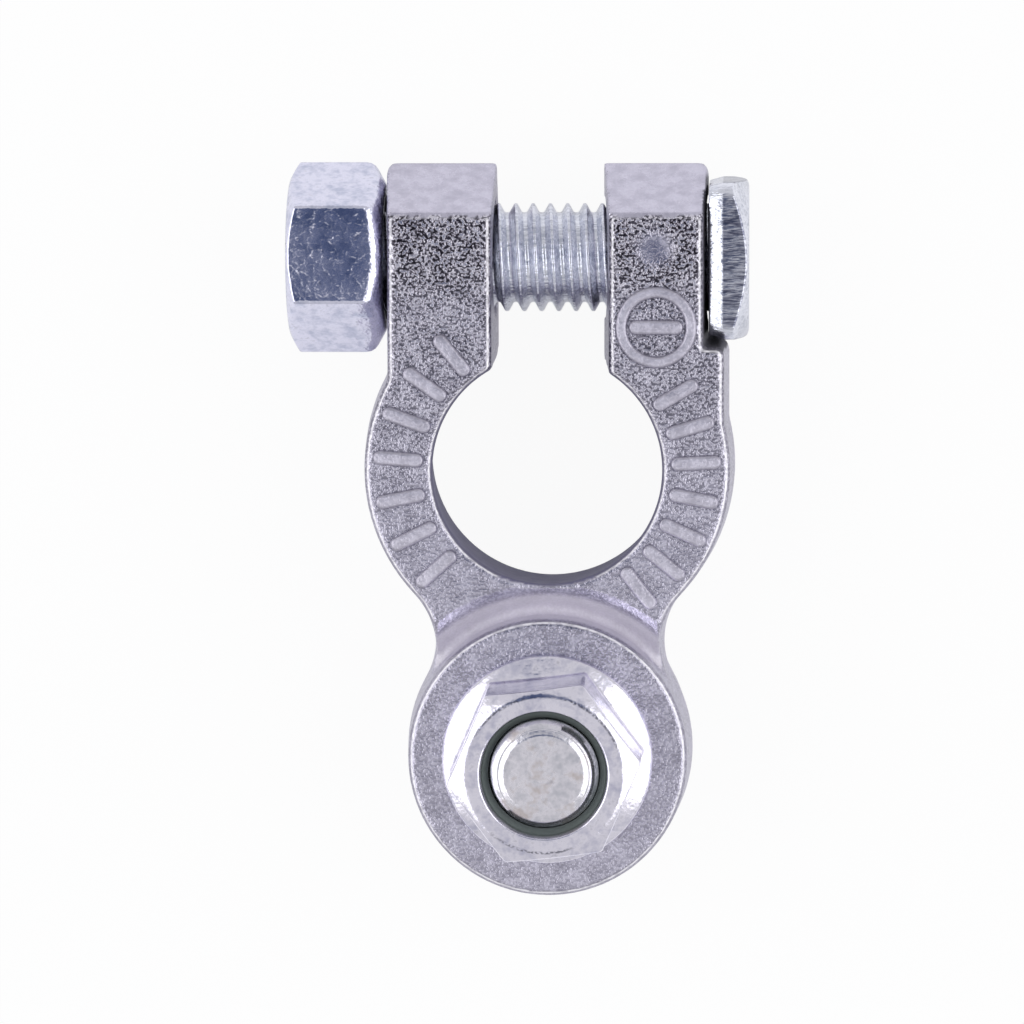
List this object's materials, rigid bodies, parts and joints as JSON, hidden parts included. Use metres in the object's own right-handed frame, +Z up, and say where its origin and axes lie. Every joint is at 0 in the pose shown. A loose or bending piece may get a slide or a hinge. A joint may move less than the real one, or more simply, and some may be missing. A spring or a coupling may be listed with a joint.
{
  "type": "battery terminal clamp",
  "caption": "Cast split-ring clamp for a tapered battery post, with a cross bolt and nut that close its jaws and a round pad with an upright stud and flange nut.",
  "frame": {"origin": "on the axis of the tapered post bore, in the clamp's flat underside", "axes": "+Z up along the post bore's axis towards its narrow end, +Y from the bore towards the clamp bolt and jaws, +X towards the clamp bolt's head"},
  "size_m": [0.0332, 0.053, 0.0207],
  "materials": {
    "casting": "bright grey zinc alloy, as cast, finely granular",
    "clamp_bolt_steel": "bright zinc plate",
    "clamp_nut_steel": "bright zinc plate, bluish",
    "cable_stud_steel": "bright zinc plate with faint rust stains on its end",
    "flange_nut_steel": "bright zinc plate"
  },
  "bodies": {
    "clamp_body": {"clamp_body": "casting"},
    "clamp_bolt": {"clamp_bolt": "clamp_bolt_steel"},
    "clamp_nut": {"clamp_nut": "clamp_nut_steel"},
    "cable_stud": {"cable_stud": "cable_stud_steel"},
    "flange_nut": {"flange_nut": "flange_nut_steel"}
  },
  "joints": [
    {"name": "clamp_nut_turn", "type": "hinge", "parent": "clamp_body", "child": "clamp_nut", "pos_m": [-0.0118, 0.0149, 0.0063], "axis": [-1, 0, 0], "range_deg": [0, 1440]},
    {"name": "clamp_bolt_travel", "type": "slide", "parent": "clamp_body", "child": "clamp_bolt", "axis": [1, 0, 0], "range_m": [0, 0.005]},
    {"name": "flange_nut_turn", "type": "hinge", "parent": "clamp_body", "child": "flange_nut", "pos_m": [0, -0.0208, 0.01263], "axis": [0, 0, 1], "range_deg": [0, 1440]},
    {"name": "cable_stud_travel", "type": "slide", "parent": "clamp_body", "child": "cable_stud", "axis": [0, 0, -1], "range_m": [0, 0.005]}
  ],
  "couplings": [
    {"joint": "clamp_bolt_travel", "follows": "clamp_nut_turn", "m_per_rad": 0.00019894},
    {"joint": "cable_stud_travel", "follows": "flange_nut_turn", "m_per_rad": 0.00019894}
  ]
}
